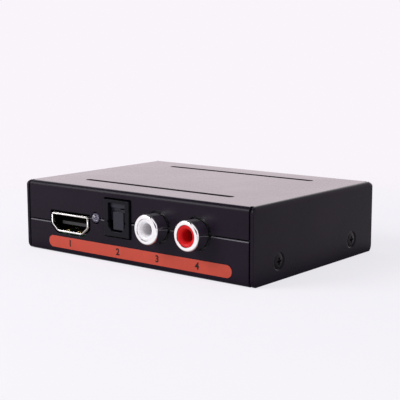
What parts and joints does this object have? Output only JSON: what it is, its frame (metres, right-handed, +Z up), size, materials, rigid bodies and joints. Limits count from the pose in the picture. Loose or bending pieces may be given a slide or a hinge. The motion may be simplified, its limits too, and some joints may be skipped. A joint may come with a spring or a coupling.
{
  "type": "digital audio extractor box",
  "caption": "Small folded-sheet box that splits sound off a digital video line, with video, optical and phono sockets and a sliding mode switch.",
  "frame": {"origin": "centre of the underside", "axes": "-Y out of the front with the phono sockets, +X to the right along that front, +Z up"},
  "size_m": [0.0832, 0.0663, 0.0206],
  "materials": {
    "case_paint": "fine textured powder coat, satin",
    "screw_black": "black oxide",
    "standoff_brass": "turned",
    "screw_steel": "zinc plated",
    "label_red": "printed film",
    "board_green": "solder mask",
    "plated_shell": "plated",
    "insulator_black": "moulded",
    "contact_gold": "gold plated",
    "led_clear": "clear moulded",
    "tinned": "tinned",
    "optical_black": "moulded, satin",
    "shutter_black": "moulded",
    "pin_steel": "bright",
    "emitter_red": "tinted clear",
    "phono_black": "moulded",
    "phono_plate": "bright plated",
    "phono_white": "moulded",
    "phono_red": "moulded",
    "jack_black": "moulded",
    "jack_plate": "bright plated",
    "switch_steel": "tin plated",
    "switch_board": "laminate",
    "switch_contact": "silver plated",
    "knob_black": "moulded",
    "chip_black": "moulded",
    "can_aluminium": "drawn",
    "base_black": "moulded",
    "core_grey": "pressed ferrite",
    "ceramic_tan": "fired",
    "resistor_black": "fired"
  },
  "bodies": {
    "case": {"top_cover": "case_paint", "bottom_tray": "case_paint", "cover_screws": "screw_black", "board_standoffs": "standoff_brass", "board_screws": "screw_steel", "port_label": "label_red", "main_board": "board_green", "video_out_shell": "plated_shell", "video_out_insulator": "insulator_black", "video_out_contacts": "contact_gold", "video_in_shell": "plated_shell", "video_in_insulator": "insulator_black", "video_in_contacts": "contact_gold", "status_led": "led_clear", "led_leads": "tinned", "optical_housing": "optical_black", "shutter_pin": "pin_steel", "shutter_spring": "pin_steel", "optical_emitter": "emitter_red", "emitter_leads": "tinned", "phono_left_body": "phono_black", "phono_left_ring": "phono_plate", "phono_left_insert": "phono_white", "phono_left_contact": "contact_gold", "phono_right_body": "phono_black", "phono_right_ring": "phono_plate", "phono_right_insert": "phono_red", "phono_right_contact": "contact_gold", "power_jack_body": "jack_black", "power_jack_pin": "jack_plate", "power_jack_spring": "jack_plate", "mode_switch_case": "switch_steel", "mode_switch_base": "switch_board", "mode_switch_terminals": "switch_contact", "video_processor": "chip_black", "audio_converter_chip": "chip_black", "microcontroller": "chip_black", "memory_chip": "chip_black", "chip_leads": "tinned", "voltage_regulators": "chip_black", "crystal_can": "can_aluminium", "capacitor_cans": "can_aluminium", "capacitor_bases": "base_black", "power_inductor": "core_grey", "chip_capacitors": "ceramic_tan", "chip_resistors": "resistor_black"},
    "shutter": {"optical_shutter": "shutter_black"},
    "mode_knob": {"mode_switch_knob": "knob_black", "mode_switch_wiper": "switch_contact"}
  },
  "joints": [
    {"name": "shutter_hinge", "type": "hinge", "parent": "case", "child": "shutter", "pos_m": [-0.00459, -0.0281, 0.01615], "axis": [1, 0, 0], "range_deg": [0, 80], "stiffness_Nm_per_rad": 0.00002, "springref_deg": -20.05, "deforming": ["shutter_spring"]},
    {"name": "mode_slide", "type": "slide", "parent": "case", "child": "mode_knob", "axis": [1, 0, 0], "range_m": [-0.002, 0.002]}
  ]
}
